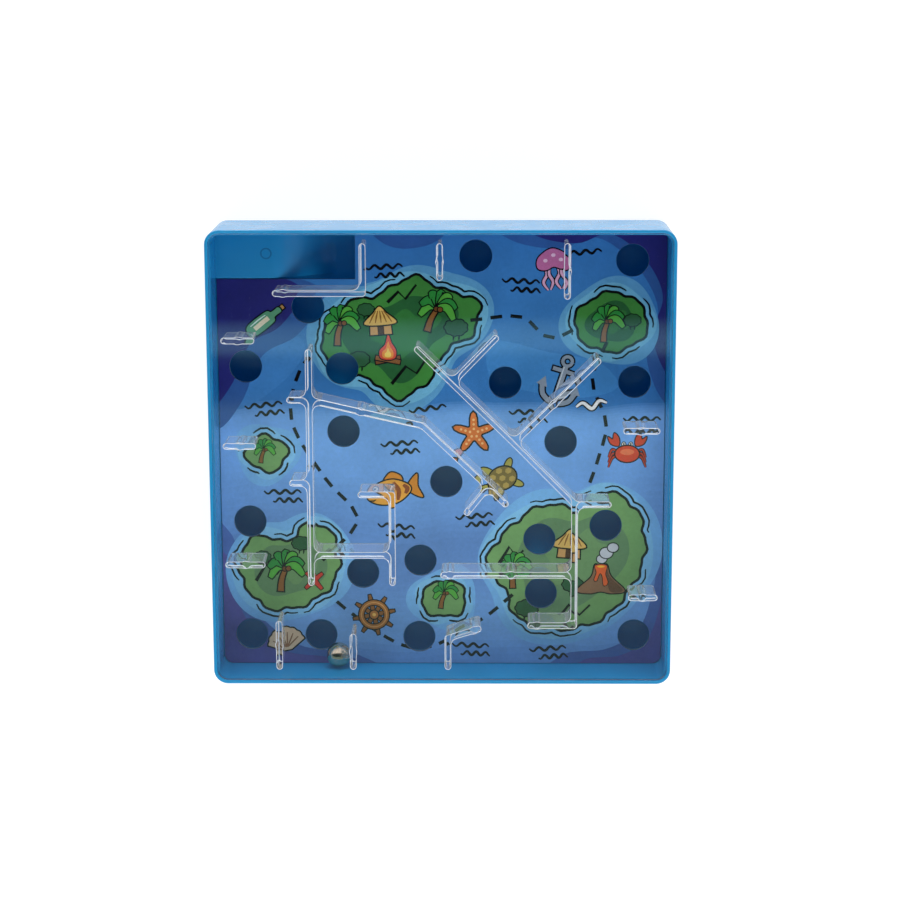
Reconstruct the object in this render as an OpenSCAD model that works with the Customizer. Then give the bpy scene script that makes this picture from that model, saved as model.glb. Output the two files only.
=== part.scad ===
// Hand-held dexterity puzzle: a square tray, a printed card with drop-through holes, a clear cover
// that carries the walls of the maze, a ramp that brings the ball back up, and one steel ball.
// It lies on its back. +Z points out through the cover and +Y towards the edge with the start corner.
// The origin is the centre of the base.

/* [Tray] */
// Outside length of each side of the square tray
case_side = 128; // [116:1:150]
// Outside corner radius of the tray
corner_r = 4; // [3:0.5:8]
// Thickness of the tray's floor
floor_t = 1.5; // [1:0.1:3]
// Thickness of the tray's sides around the play space
side_t = 1.5; // [1.3:0.1:2.4]
// Thickness of the lip that frames the cover
lip_t = 0.9; // [0.6:0.1:1.1]
// Width of the ledge that carries the card
card_ledge = 1.2; // [0.8:0.1:2]

/* [Ball] */
// Diameter of the steel ball
ball_d = 7; // [6:0.1:8]
// Gap between the resting ball and what is around it
ball_gap = 0.3; // [0.1:0.05:0.6]

/* [Card] */
// Thickness of the printed card
card_t = 1; // [0.5:0.1:2]
// Gap between the card's edge and the tray
card_clear = 0.15; // [0.05:0.05:0.4]
// How much wider than the ball a hole is
hole_clear = 2; // [1:0.1:3]
// Headroom over the ball in the gallery under the card
gallery_clear = 1; // [0.5:0.1:3]
// Diameter of the posts under the card
post_d = 4; // [3:0.1:6]
// Length of the start corner's cut-out, along the tray's edge
start_w = 38.6; // [34:0.1:42]
// Depth of the start corner's cut-out, in from the tray's edge
start_d = 13.9; // [12:0.1:14.5]

/* [Return ramp] */
// Length of the ramp's flat top
ramp_flat = 15; // [12:0.1:17]
// Length of the ramp's slope
ramp_run = 18; // [12:0.1:20]
// Gap between the ramp and the tray and card around it
ramp_clear = 0.2; // [0.1:0.05:0.4]

/* [Cover] */
// Thickness of the clear cover
cover_t = 1.5; // [1:0.1:2.5]
// Gap between the cover's edge and the lip
cover_clear = 0.1; // [0.05:0.05:0.3]
// How far the cover lies below the top of the lip
cover_recess = 0.3; // [0:0.1:1]
// Height of the play space between the card and the cover
play_h = 13.2; // [11:0.1:16]

/* [Maze walls] */
// Thickness of the maze walls
wall_t = 1.5; // [1.2:0.1:2]
// Gap between a wall's tip and the card
tip_gap = 2; // [1:0.1:3]
// Gap between the tray's side and the walls that stand off it
rim_gap = 2.4; // [1.5:0.1:3]
// Radius of the fillets where walls meet
joint_fillet = 2; // [0.5:0.1:2.5]
// Diameter of the round thickenings that the ejector pins leave on the walls
pad_d = 2; // [1.6:0.1:2.6]

/* [Hidden] */

$fn = 64;
cut = 1;
wall_facets = 24;
ramp_steps = 14;

tray_colour = "#2f86bd";
card_colour = "#5587c6";
cover_colour = [0.86, 0.93, 0.98, 0.35];
ball_colour = "#b9bcc0";

// Heights
card_z = floor_t + ball_d + gallery_clear;
card_top = card_z + card_t;
cover_z = card_top + play_h;
case_h = cover_z + cover_t + cover_recess;
wall_h = play_h - tip_gap;

// Widths, from the lip inwards
cover_side = case_side - 2 * (lip_t + cover_clear);
field = case_side - 2 * side_t;
card_side = field - 2 * card_clear;
gallery = field - 2 * card_ledge;
hole_d = ball_d + hole_clear;

// The layout of the holes, posts and walls is drawn in steps across the play field
field_steps = 125;
step = field / field_steps;

// Centres of the holes, from the start edge down
hole_places = [
    [9.5, 55], [52.8, 53.8], [-37.1, 40.7], [-54.7, 24], [-27.8, 23.4], [17.7, 19.4], [53.8, 19.6],
    [-27.6, 5.5], [33.3, 2.5], [1.2, -9], [-54.3, -20.5], [46.2, -21.7], [27.5, -25.7], [-6.2, -31.9],
    [-22.5, -35.5], [28, -41.5], [-54.4, -53.7], [-34.6, -53.9], [-6.6, -54.4], [54.5, -53.9]];

// Centres of the posts, which keep clear of the holes
post_places = [
    [30, 38], [-8, 37], [-42, 6], [-4, 8], [46, -3], [-38, -32], [10, -27], [12, -50], [42, -44]];

// Corner points of the branching walls
start_corner = [-21.3, 46.6];
start_bar_end = [-45, 46.6];
start_pad = [-43, 46.6];
hook_x = 1.7;
hook_bend = [hook_x, -51];
hook_tip = [10.2, -48.3];
hook_pad = [9, -48.7];
west_x = -36.3;
west_top_y = 30.3;
west_hub = [west_x, 17];
west_hub_end_x = -41.6;
west_bend = [-5, 9.8];
west_pad = [-22.1, 13.75];
west_fork = [12.9, -7.4];
west_fork_right = [17.7, -12.3];
west_fork_left = [7.1, -14.7];
west_spur = [-41.2, -6.4];
west_low_y = -27;
west_foot_y = -34.9;
west_inner_x = -13.7;
west_inner_top = -9.7;
west_inner_end_x = -22.3;
east_top = [-6.4, 31.1];
east_fork_upper = [3, 21.8];
east_upper_tip = [14.9, 34.2];
east_fork_lower = [20, 5];
east_lower_tip = [42.9, 27.8];
east_lower_pad = [30.9, 15.85];
east_hub = [37.1, -12.5];
east_hub_end_x = 46.2;
east_x = 36.9;
east_arm_y = -32.7;
east_arm_end_x = 0.5;
east_arm_pad_xs = [19.3, 2.3];
east_foot_y = -47.3;
east_foot_end_x = 24.8;
east_foot_pad_x = 26.6;

// Where along its edge each straight stub stands, and its length
stub_top_left = [-0.3, 8.4];
stub_top_right = [34.4, 13.6];
stub_left_upper = [33.5, 7.5];
stub_left_middle = [4, 7.4];
stub_left_lower = [-29.8, 9.4];
stub_right_upper = [8.3, 8.4];
stub_right_lower = [-39.2, 6.5];
stub_bottom_left = [-45.6, 12.4];
stub_bottom_right = [-24.9, 8.7];

// Distance from the centre to the outer end of a wall that stands off the tray's side
stub_reach = field / 2 - rim_gap - wall_t / 2;

// Place of the ball, against the bottom side and the right-hand bottom stub
ball_x = stub_bottom_right.x * step - wall_t / 2 - ball_gap - ball_d / 2;
ball_y = -field / 2 + ball_gap + ball_d / 2;
ball_z = card_top + ball_gap + ball_d / 2;

// A square with round corners, centred on the axis
module rounded_square(side, r) {
    square([side, side - 2 * r], center = true);
    square([side - 2 * r, side], center = true);
    for (x = [-1, 1], y = [-1, 1]) {
        translate([x, y] * (side / 2 - r)) circle(r);
    }
}

// A block with round corners between two heights
module rounded_block(side, inset, low, high) {
    translate([0, 0, low]) linear_extrude(high - low) rounded_square(side, corner_r - inset);
}

module tray() {
    color(tray_colour) difference() {
        rounded_block(case_side, 0, 0, case_h);
        rounded_block(gallery, side_t + card_ledge, floor_t, case_h + cut);
        rounded_block(field, side_t, card_z, case_h + cut);
        rounded_block(case_side - 2 * lip_t, lip_t, cover_z, case_h + cut);
    }
}

module card_posts() {
    color(tray_colour) for (place = post_places) {
        translate([place.x * step, place.y * step, floor_t]) cylinder(d = post_d, h = card_z - floor_t);
    }
}

// Height of the ramp at a share of its slope, from 0 at the foot to 1 at the flat top
function ramp_height(share) = floor_t + (card_top - floor_t) * (1 - cos(180 * share)) / 2;

module return_ramp() {
    left = -field / 2;
    brow = left + ramp_flat;
    foot = brow + ramp_run;
    front = field / 2 - start_d + ramp_clear;
    slope = [for (i = [0 : ramp_steps]) [foot - ramp_run * i / ramp_steps, ramp_height(i / ramp_steps)]];
    color(tray_colour) intersection() {
        translate([0, field / 2, 0]) rotate([90, 0, 0]) linear_extrude(field / 2 - front)
            polygon(concat([[left, floor_t]], slope, [[left, card_top]]));
        union() {
            rounded_block(gallery - 2 * ramp_clear, side_t + card_ledge, floor_t, card_top);
            rounded_block(card_side, side_t, card_z, card_top);
        }
    }
}

module game_card() {
    color(card_colour) difference() {
        rounded_block(card_side, side_t, card_z, card_top);
        translate([-field / 2, field / 2 - start_d, card_z - cut]) cube([start_w, start_d, card_t + 2 * cut]);
        for (place = hole_places) {
            translate([place.x * step, place.y * step, card_z - cut]) cylinder(d = hole_d, h = card_t + 2 * cut);
        }
    }
}

module cover_sheet() {
    color(cover_colour) rounded_block(cover_side, lip_t, cover_z, cover_z + cover_t);
}

// A straight stretch of wall from a to b, with round ends, seen from above
module bar(a, b) {
    run = b - a;
    translate(a) rotate(atan2(run.y, run.x)) translate([0, -wall_t / 2]) square([norm(run), wall_t]);
    for (end = [a, b]) {
        translate(end) circle(d = wall_t);
    }
}

// A moulded wall that hangs from the cover: stretches through the points of each run, joined by fillets
module hanging_wall(runs, pads) {
    color(cover_colour) translate([0, 0, cover_z - wall_h]) linear_extrude(wall_h)
        offset(r = -joint_fillet, $fn = wall_facets) offset(delta = joint_fillet) {
            for (run = runs, i = [1 : len(run) - 1]) {
                bar(run[i - 1], run[i], $fn = wall_facets);
            }
            for (pad = pads) {
                translate(pad) circle(d = pad_d, $fn = wall_facets);
            }
        }
}

// A straight stub that runs inwards from one edge, thickened at mid length
module edge_stub(outer_end, inwards, length) {
    hanging_wall([[outer_end, outer_end + inwards * length]], [outer_end + inwards * length / 2]);
}

module top_stub(stub) {
    edge_stub([stub.x * step, stub_reach], [0, -1], stub.y);
}

module bottom_stub(stub) {
    edge_stub([stub.x * step, -stub_reach], [0, 1], stub.y);
}

module left_stub(stub) {
    edge_stub([-stub_reach, stub.x * step], [1, 0], stub.y);
}

module right_stub(stub) {
    edge_stub([stub_reach, stub.x * step], [-1, 0], stub.y);
}

module start_wall() {
    hanging_wall([[[start_corner.x * step, stub_reach], start_corner * step, start_bar_end * step]],
                 [start_pad * step]);
}

module bottom_hook() {
    hanging_wall([[[hook_x * step, -stub_reach], hook_bend * step, hook_tip * step]], [hook_pad * step]);
}

module west_wall() {
    runs = [
        [[west_x, west_top_y], [west_x, west_foot_y]],
        [[west_hub_end_x, west_hub.y], west_hub, west_bend, west_fork, west_fork_right],
        [west_fork, west_fork_left],
        [west_spur, [west_x, west_spur.y]],
        [[west_x, west_low_y], [west_inner_x, west_low_y]],
        [[west_inner_end_x, west_inner_top], [west_inner_x, west_inner_top], [west_inner_x, west_foot_y]]];
    hanging_wall([for (run = runs) run * step], [west_pad * step]);
}

module east_wall() {
    runs = [
        [east_top, east_fork_upper, east_fork_lower, east_hub, [east_hub_end_x, east_hub.y]],
        [east_fork_upper, east_upper_tip],
        [east_fork_lower, east_lower_tip],
        [[east_x, east_hub.y], [east_x, east_foot_y], [east_foot_end_x, east_foot_y]],
        [[east_arm_end_x, east_arm_y], [east_x, east_arm_y]]];
    arm_pads = [for (x = east_arm_pad_xs) [x, east_arm_y]];
    pads = concat([east_lower_pad], arm_pads, [[east_foot_pad_x, east_foot_y]]);
    hanging_wall([for (run = runs) run * step], [for (pad = pads) pad * step]);
}

module steel_ball() {
    color(ball_colour) translate([ball_x, ball_y, ball_z]) sphere(d = ball_d);
}

tray();
card_posts();
return_ramp();
game_card();
cover_sheet();
start_wall();
top_stub(stub_top_left);  // top_stub_left
top_stub(stub_top_right);  // top_stub_right
left_stub(stub_left_upper);  // left_stub_upper
left_stub(stub_left_middle);  // left_stub_middle
left_stub(stub_left_lower);  // left_stub_lower
right_stub(stub_right_upper);  // right_stub_upper
right_stub(stub_right_lower);  // right_stub_lower
bottom_stub(stub_bottom_left);  // bottom_stub_left
bottom_stub(stub_bottom_right);  // bottom_stub_right
bottom_hook();
west_wall();
east_wall();
steel_ball();
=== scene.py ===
"""Looks of a hand-held dexterity puzzle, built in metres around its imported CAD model.

The tray, the printed card, the clear cover with its hanging walls, the return ramp and the steel ball are
surfaces worked out with numpy in millimetres and put into meshes that stand where the CAD nodes stand.
"""
import math

import bmesh
import bpy
import numpy as np
from mathutils import Matrix, Vector
from mathutils.geometry import delaunay_2d_cdt


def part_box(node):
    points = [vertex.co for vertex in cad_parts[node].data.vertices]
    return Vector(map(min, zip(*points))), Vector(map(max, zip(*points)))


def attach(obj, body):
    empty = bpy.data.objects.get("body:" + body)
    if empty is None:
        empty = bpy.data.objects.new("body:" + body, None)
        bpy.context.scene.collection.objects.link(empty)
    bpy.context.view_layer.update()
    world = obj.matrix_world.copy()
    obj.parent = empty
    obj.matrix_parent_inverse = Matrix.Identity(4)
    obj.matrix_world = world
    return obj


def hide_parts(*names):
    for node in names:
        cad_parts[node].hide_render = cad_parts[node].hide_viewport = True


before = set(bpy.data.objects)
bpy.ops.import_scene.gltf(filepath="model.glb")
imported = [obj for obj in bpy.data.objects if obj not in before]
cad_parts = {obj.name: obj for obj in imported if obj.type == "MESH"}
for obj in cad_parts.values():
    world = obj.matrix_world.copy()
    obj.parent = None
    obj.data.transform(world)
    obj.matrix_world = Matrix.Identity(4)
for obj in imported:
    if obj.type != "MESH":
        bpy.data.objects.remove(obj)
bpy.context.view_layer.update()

bl_info = {
    "name": "Dexterity puzzle",
    "version": (1, 0, 0),
    "blender": (4, 5, 0),
    "location": "View3D > Sidebar > Puzzle",
    "description": "Builds a ball maze with a printed sea chart under a clear cover",
    "category": "Add Mesh",
}

MM = 0.001
# CAD nodes of the maze walls, which hang from the cover
WALLS = ("start_wall", "top_stub_left", "top_stub_right", "left_stub_upper", "left_stub_middle",
         "left_stub_lower", "right_stub_upper", "right_stub_lower", "bottom_stub_left", "bottom_stub_right",
         "bottom_hook", "west_wall", "east_wall")
# Near-black ink of every printed line
INK = "020305"
# Ring that the mould's ejector pin left on the ramp's top, painted as a ring of shade; in metres: its middle,
# radius and half width
EJECTOR_PIN = (-0.0485, 0.0557, 0.0105)
PIN_RADIUS, PIN_LINE = 1.4 * MM, 0.22 * MM
# Gap in millimetres between two surfaces that meet without crossing
TOUCH = 0.01
# Width in millimetres of the strip that a section carries round a flat face, up to the face's plain middle
STRIP = 20
# How white the clear plastic is: painted glints on the cover's edge, a pale veil on the walls' sides, and
# painted highlights on the walls' rounded roots and tips
EDGE_GLINT, SIDE_HAZE, ROOT_GLINT, TIP_GLINT = 0.08, 0.07, 0.9, 0.8


def linear(hex_colour):
    """An sRGB hex colour as linear red, green and blue, by the sRGB curve."""
    srgb = np.array([int(hex_colour[i:i + 2], 16) for i in (0, 2, 4)]) / 255
    return tuple(np.where(srgb <= 0.04045, srgb / 12.92, ((srgb + 0.055) / 1.055) ** 2.4))


def box_mm(node):
    """Lowest and highest corner of a CAD node in millimetres."""
    low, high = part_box(node)
    return np.array(low) / MM, np.array(high) / MM


def length_prop(name, description, default_mm):
    """A length property whose default is given in millimetres."""
    return bpy.props.FloatProperty(name=name, description=description, default=default_mm * MM, min=0.0,
                                   precision=5, unit="LENGTH", subtype="DISTANCE")


def colour_prop(name, description, hex_colour):
    """A colour property whose default is an sRGB hex value."""
    return bpy.props.FloatVectorProperty(name=name, description=description, default=linear(hex_colour),
                                         size=3, min=0.0, max=1.0, subtype="COLOR")


class PuzzleSizes(bpy.types.PropertyGroup):
    """Thicknesses of the tray, and the roundings and drafts that the CAD solids leave out."""

    lip: length_prop("Lip", "Thickness of the lip that frames the cover", 0.9)
    side: length_prop("Side", "Thickness of the tray's sides around the play space", 1.5)
    card_ledge: length_prop("Card ledge", "Width of the ledge that carries the card", 1.2)
    corner_radius: length_prop("Corner radius", "Outside corner radius of the tray, seen from above", 4.0)
    side_draft: length_prop("Side draft", "How much further in the tray's side is at its base", 0.4)
    rim_round: length_prop("Rim rounding", "Radius of the tray's rim edges", 0.34)
    base_round: length_prop("Base rounding", "Radius of the tray's bottom edge", 0.6)
    floor_fillet: length_prop("Floor fillet", "Radius where the tray's side meets its floor", 0.6)
    seat_fillet: length_prop("Seat fillet", "Radius where the lip meets the cover's seat", 0.1)
    ledge_fillet: length_prop("Ledge fillet", "Radius where the tray's side meets the card's ledge", 0.15)
    ledge_round: length_prop("Ledge rounding", "Radius of the inner edges of the seat and the ledge", 0.2)
    ramp_gap: length_prop("Ramp gap", "Gap between the ramp and the gallery under the card", 0.2)
    ramp_top: length_prop("Ramp top", "Length of the ramp's flat top", 14.85)
    ramp_round: length_prop("Ramp rounding", "Radius of the ramp's front edge", 0.25)
    cover_round: length_prop("Cover edge rounding", "Radius of the clear cover's edges", 0.2)
    wall_fillet: length_prop("Wall fillet", "Radius where a maze wall meets the cover", 0.25)
    wall_draft: length_prop("Wall draft", "How much narrower each side of a maze wall is at its tip", 0.12)
    tip_round: length_prop("Tip rounding", "Radius of the edges of a maze wall's tip", 0.24)
    card_edge: length_prop("Card edge", "Width of the bevel along the card's cut edges", 0.07)


class PuzzleColours(bpy.types.PropertyGroup):
    """Colours of the plastics, the metal and the main inks."""

    tray: colour_prop("Tray blue", "Colour of the tray's plastic", "1c87ba")
    cover: colour_prop("Cover tint", "Tint of the clear plastic", "fafcff")
    steel: colour_prop("Steel", "Colour of the ball", "dac6b0")
    core: colour_prop("Card core", "Colour of the card's cut edges", "46617f")
    back: colour_prop("Card back", "Plain ink on the back of the card", "2a70bd")
    sea: colour_prop("Sea", "Ink of the open sea", "3b7bba")
    deep: colour_prop("Deep sea", "Ink of the deep water along the edges", "2b2c74")
    shallow: colour_prop("Shallow sea", "Ink of the water around the islands", "72b6d4")
    # The northern and southern islands' inks are one green, painted as a shaded copy and a sunlit copy
    land: colour_prop("Land", "Ink of the northern islands", "40863a")
    sunlit_land: colour_prop("Meadow", "Ink of the southern islands", "74a260")


# Mesh making

def grid_faces(rows, columns, first=0, outwards_down=False):
    """Quads of a grid of points whose columns close into a ring; rows that go up face outwards."""
    i, j = np.meshgrid(np.arange(rows - 1), np.arange(columns), indexing="ij")
    a, b = i * columns + j, i * columns + (j + 1) % columns
    quads = np.stack([a, b, b + columns, a + columns], axis=-1).reshape(-1, 4) + first
    return quads[:, ::-1] if outwards_down else quads


def fan_faces(ring, centre, upwards):
    """Triangles from a closed ring of points, anticlockwise from above, to one centre point."""
    following = np.roll(ring, -1)
    pair = (ring, following) if upwards else (following, ring)
    return np.stack([*pair, np.full(len(ring), centre)], axis=-1)


def add_piece(name, points, faces, material, body, nodes, normals=None, ink=None, haze=None):
    """Puts points in millimetres and faces into a mesh at the origin and ties it to the frame.

    normals gives each point its exact normal, ink each face its colour and haze each point its whiteness."""
    mesh = bpy.data.meshes.new(name)
    mesh.from_pydata((np.asarray(points) * MM).tolist(), [], [f for group in faces for f in group.tolist()])
    if mesh.validate():
        raise RuntimeError(f"{name} has faces that don't hold together")
    mesh.polygons.foreach_set("use_smooth", np.ones(len(mesh.polygons), bool))
    if normals is None:
        mesh.set_sharp_from_angle(angle=math.radians(40))
    else:
        mesh.normals_split_custom_set_from_vertices(np.asarray(normals).tolist())
    if ink is not None:
        corners = np.empty(len(mesh.polygons), int)
        mesh.polygons.foreach_get("loop_total", corners)
        colours = np.c_[np.asarray(ink), np.ones(len(ink))]
        layer = mesh.color_attributes.new("ink", "FLOAT_COLOR", "CORNER")
        layer.data.foreach_set("color", np.repeat(colours, corners, axis=0).ravel())
    if haze is not None:
        mesh.attributes.new("haze", "FLOAT", "POINT").data.foreach_set("value", np.asarray(haze, float))
    mesh.materials.append(material)
    piece = bpy.data.objects.new(name, mesh)
    bpy.context.scene.collection.objects.link(piece)
    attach(piece, body)
    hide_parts(*nodes)
    return piece


def rounded_profile(corners, steps=4):
    """A section line through corner points (reach, height, radius), each rounded by an arc, and its normals.

    The solid lies on the left of the line. Each arc turns the right-hand normal of the line before the corner
    evenly into the normal of the line after it, about the centre that touches both lines."""
    corners = np.asarray(corners, float)
    place, radius = corners[:, :2], corners[1:-1, 2, None]
    along = np.diff(place, axis=0)
    along /= np.linalg.norm(along, axis=1, keepdims=True)
    before, after = along[:-1], along[1:]
    across = before[:, 0] * after[:, 1] - before[:, 1] * after[:, 0]
    turn = np.arctan2(across, (before * after).sum(1))[:, None]
    side = np.sign(turn)
    start = place[1:-1] - before * radius * np.abs(np.tan(turn / 2))
    angle = np.arctan2(-before[:, 0], before[:, 1])[:, None] + turn * np.linspace(0, 1, steps + 1)
    normal = np.stack([np.cos(angle), np.sin(angle)], axis=-1)
    centre = start - side * radius * normal[:, 0]
    arc = centre[:, None] + (side * radius)[:, None] * normal
    points = np.r_[place[:1], arc.reshape(-1, 2), place[-1:]]
    normals = np.r_[normal[0, :1], normal.reshape(-1, 2), normal[-1, -1:]]
    return points, normals


def carried_round(profile, normals, arc_centre, steps=12):
    """A profile of (reach, height) carried round a square with round corners.

    At each corner the profile swings about an axis that lies arc_centre from the middle both ways. A part
    that reaches less far than that keeps a small corner radius of its own."""
    reach, height = profile[:, 0, None], profile[:, 1, None]
    least_radius = 0.3
    radius = np.maximum(reach - arc_centre, least_radius)
    angle = (np.arange(4)[:, None] * 90 + np.linspace(0, 90, steps + 1)).ravel() * math.pi / 180
    quarter = np.repeat(np.arange(4) * 90 + 45, steps + 1) * math.pi / 180
    cos, sin = np.cos(angle), np.sin(angle)
    points = np.stack([(reach - radius) * np.sign(np.cos(quarter)) + radius * cos,
                       (reach - radius) * np.sign(np.sin(quarter)) + radius * sin,
                       height + 0 * cos], axis=-1)
    out = np.stack([normals[:, :1] * cos, normals[:, :1] * sin, normals[:, 1:] + 0 * cos], axis=-1)
    return points, out


def closed_loops(triangles, count):
    """Rim of a set of triangles as closed loops of point numbers, with the triangles on the left.

    Each rim point knows the next one. Following the links by doubling gives each point its loop, named for
    the loop's lowest point, and its distance from the loop's end, and the two sort the points into loops."""
    start, end = triangles.ravel(), np.roll(triangles, -1, axis=1).ravel()
    rim = ~np.isin(start * count + end, end * count + start)
    used, short = np.unique(start[rim], return_inverse=True)
    link = np.empty(len(used), int)
    link[short] = np.searchsorted(used, end[rim])
    doublings = int(np.ceil(np.log2(len(used)))) + 1
    loop, hop = np.arange(len(used)), link
    for _ in range(doublings):
        loop, hop = np.minimum(loop, loop[hop]), hop[hop]
    last = link == loop
    hop, distance = np.where(last, np.arange(len(used)), link), np.where(last, 0, 1)
    for _ in range(doublings):
        distance, hop = distance + distance[hop], hop[hop]
    order = np.lexsort((-distance, loop))
    return [used[part] for part in np.split(order, np.flatnonzero(np.diff(loop[order])) + 1)]


def cad_outlines(node, height):
    """Closed outlines of a CAD node's flat face at a height, the solid on their left, the longest first."""
    merged, same = bmesh.new(), 0.002
    merged.from_mesh(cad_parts[node].data)
    bmesh.ops.remove_doubles(merged, verts=merged.verts, dist=same * MM)
    merged.verts.index_update()
    points = np.array([v.co for v in merged.verts]) / MM
    triangles = np.array([[c.vert.index for c in corners] for corners in merged.calc_loop_triangles()])
    merged.free()
    flat = triangles[(np.abs(points[triangles][:, :, 2] - height) < same).all(axis=1)]
    if not len(flat):
        raise RuntimeError(f"{node} has no flat face at {height} mm")
    loops = [points[loop][:, :2] for loop in closed_loops(flat, len(points))]
    return sorted(loops, key=lambda loop: -np.linalg.norm(np.roll(loop, -1, axis=0) - loop, axis=1).sum())


def evened(outline, spacing=0.25, rounds=4):
    """A closed outline with even points, averaged with their neighbours to take off the facets."""
    ends = np.r_[outline, outline[:1]]
    along = np.r_[0, np.cumsum(np.linalg.norm(np.diff(ends, axis=0), axis=1))]
    place = np.linspace(0, along[-1], round(along[-1] / spacing), endpoint=False)
    even = np.c_[np.interp(place, along, ends[:, 0]), np.interp(place, along, ends[:, 1])]
    for _ in range(rounds):
        even = (np.roll(even, 1, axis=0) + 2 * even + np.roll(even, -1, axis=0)) / 4
    return even


def edge_normals(outline):
    """Right-hand unit normal and length of each edge of a closed outline, from a point to the next."""
    edge = np.roll(outline, -1, axis=0) - outline
    length = np.linalg.norm(edge, axis=1, keepdims=True)
    return np.c_[edge[:, 1], -edge[:, 0]] / np.maximum(length, 1e-9), length


def mitres(outline, short=0.05):
    """How far each point of an outline moves when its edges move out by 1; short edges count for less."""
    out, length = edge_normals(outline)
    weight = np.minimum(length, short)
    before, weight_before = np.roll(out, 1, axis=0), np.roll(weight, 1, axis=0)
    aim = out * weight + before * weight_before
    aim /= np.linalg.norm(aim, axis=1, keepdims=True)
    reach = (aim * np.where(weight >= weight_before, out, before)).sum(axis=1, keepdims=True)
    return aim / np.maximum(reach, 0.4)


def shading_normals(outline):
    """Normals of an outline's points, in which a long straight edge outweighs the facets of an arc."""
    out, length = edge_normals(outline)
    heavy = out * length + np.roll(out * length, 1, axis=0)
    return heavy / np.linalg.norm(heavy, axis=1, keepdims=True)


def winding(outline):
    """Order of a closed outline's points that runs anticlockwise from the rightmost one."""
    x, y = outline.T
    order = np.arange(len(outline))
    if (x * np.roll(y, -1) - y * np.roll(x, -1)).sum() < 0:
        order = order[::-1]
    return np.roll(order, -int(x[order].argmax()))


def filled(outlines, closest=1e-6):
    """Triangles that fill overlapping closed outlines, anticlockwise, and for each the outlines that hold it.

    Points that lie closer together than closest become one."""
    count = np.cumsum([0] + [len(o) for o in outlines])
    wound = [o[winding(o)] for o in outlines]
    numbers = [list(range(a, b)) for a, b in zip(count[:-1], count[1:])]
    points, _, triangles, origin, _, holders = delaunay_2d_cdt(
        [Vector(p) for p in np.concatenate(wound)], [], numbers, 1, closest, True)
    return np.array(points), np.array(triangles), holders, origin


def flat_cap(outlines, numbers):
    """Downward triangles between the longest outline and the others, in the numbers of all their points."""
    longest = max(range(len(outlines)), key=lambda i: np.ptp(outlines[i], axis=0).sum())
    sizes = [len(o) for o in outlines]
    own = np.split(numbers, np.cumsum(sizes)[:-1])
    wound = np.concatenate([number[winding(o)] for o, number in zip(outlines, own)])
    points, triangles, holders, origin = filled(outlines)
    if len(points) != sum(sizes):
        raise RuntimeError(f"outlines cross that should lie apart: {len(points)} points, not {sum(sizes)}")
    keep = np.array([held == [longest] for held in holders])
    source = np.array([o[0] for o in origin])
    return wound[source[triangles[keep]]][:, ::-1]


def lifted(plan, rise):
    """Rows of plane vectors, each row given its own third coordinate, as one list."""
    third = np.broadcast_to(rise[:, None, None], plan.shape[:2] + (1,))
    return np.concatenate([plan, third], axis=-1).reshape(-1, 3)


# Materials

def add_node(tree, kind, links=None, **settings):
    """Adds a shader node of a kind with its settings, and links or sets its inputs."""
    new = tree.nodes.new("ShaderNode" + kind)
    for key, value in settings.items():
        setattr(new, key, value)
    for socket, value in (links or {}).items():
        if isinstance(value, bpy.types.NodeSocket):
            tree.links.new(value, new.inputs[socket])
        else:
            new.inputs[socket].default_value = value
    return new


def new_material(name):
    """An empty node material and its tree."""
    material = bpy.data.materials.new(name)
    material.use_nodes = True
    material.node_tree.nodes.clear()
    return material, material.node_tree


def per_mm(millimetres):
    """Texture scale, for coordinates in metres, of a pattern that repeats about every so many millimetres."""
    return 1 / (millimetres * MM)


def moulded_polystyrene(colour):
    """Blue polystyrene from a polished mould: an even gloss, faint flow clouds, a slight unevenness and the
    ring of an ejector pin, painted as a ring of shade.

    Its thin walls let some light seep through, which keeps shaded parts a deep blue: a weak painted glow
    stands for it."""
    material, tree = new_material("moulded_blue_polystyrene")
    where = add_node(tree, "TexCoord").outputs["Object"]
    clouds = add_node(tree, "TexNoise", {"Vector": where, "Scale": per_mm(18), "Detail": 3})
    peel = add_node(tree, "TexNoise", {"Vector": where, "Scale": per_mm(9), "Detail": 1})
    deep, pale = [(*[c * share for c in colour], 1) for share in (0.92, 1.06)]
    tone = add_node(tree, "Mix", {"Factor": clouds.outputs["Fac"], 6: deep, 7: pale}, data_type="RGBA")
    gloss = add_node(tree, "MapRange", {"Value": peel.outputs["Fac"], 1: 0.3, 2: 0.7, 3: 0.2, 4: 0.26})
    bump = add_node(tree, "Bump", {"Height": peel.outputs["Fac"], "Strength": 0.006, "Distance": 0.04 * MM})
    # Painted shade: the tone is darker on the pin's ring, and no groove is modelled
    from_pin = add_node(tree, "VectorMath", {0: where, 1: EJECTOR_PIN}, operation="DISTANCE")
    pin_shade_ring = add_node(tree, "Math", {0: from_pin.outputs["Value"], 1: PIN_RADIUS, 2: PIN_LINE},
                      operation="COMPARE")
    shade = add_node(tree, "MapRange", {"Value": pin_shade_ring.outputs[0], 3: 1.0, 4: 0.6})
    pin_shaded_tone = add_node(tree, "VectorMath", {0: tone.outputs[2], "Scale": shade.outputs[0]}, operation="SCALE")
    surface = add_node(tree, "BsdfPrincipled", {
        "Base Color": pin_shaded_tone.outputs[0], "Roughness": gloss.outputs["Result"],
        "Normal": bump.outputs["Normal"], "IOR": 1.55,
        # Painted glow: a weak blue emission that lifts shaded parts to a deep blue
        "Emission Color": (0.0, 0.26, 1.0, 1), "Emission Strength": 0.034})
    add_node(tree, "OutputMaterial", {"Surface": surface.outputs[0]})
    return material


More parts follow.
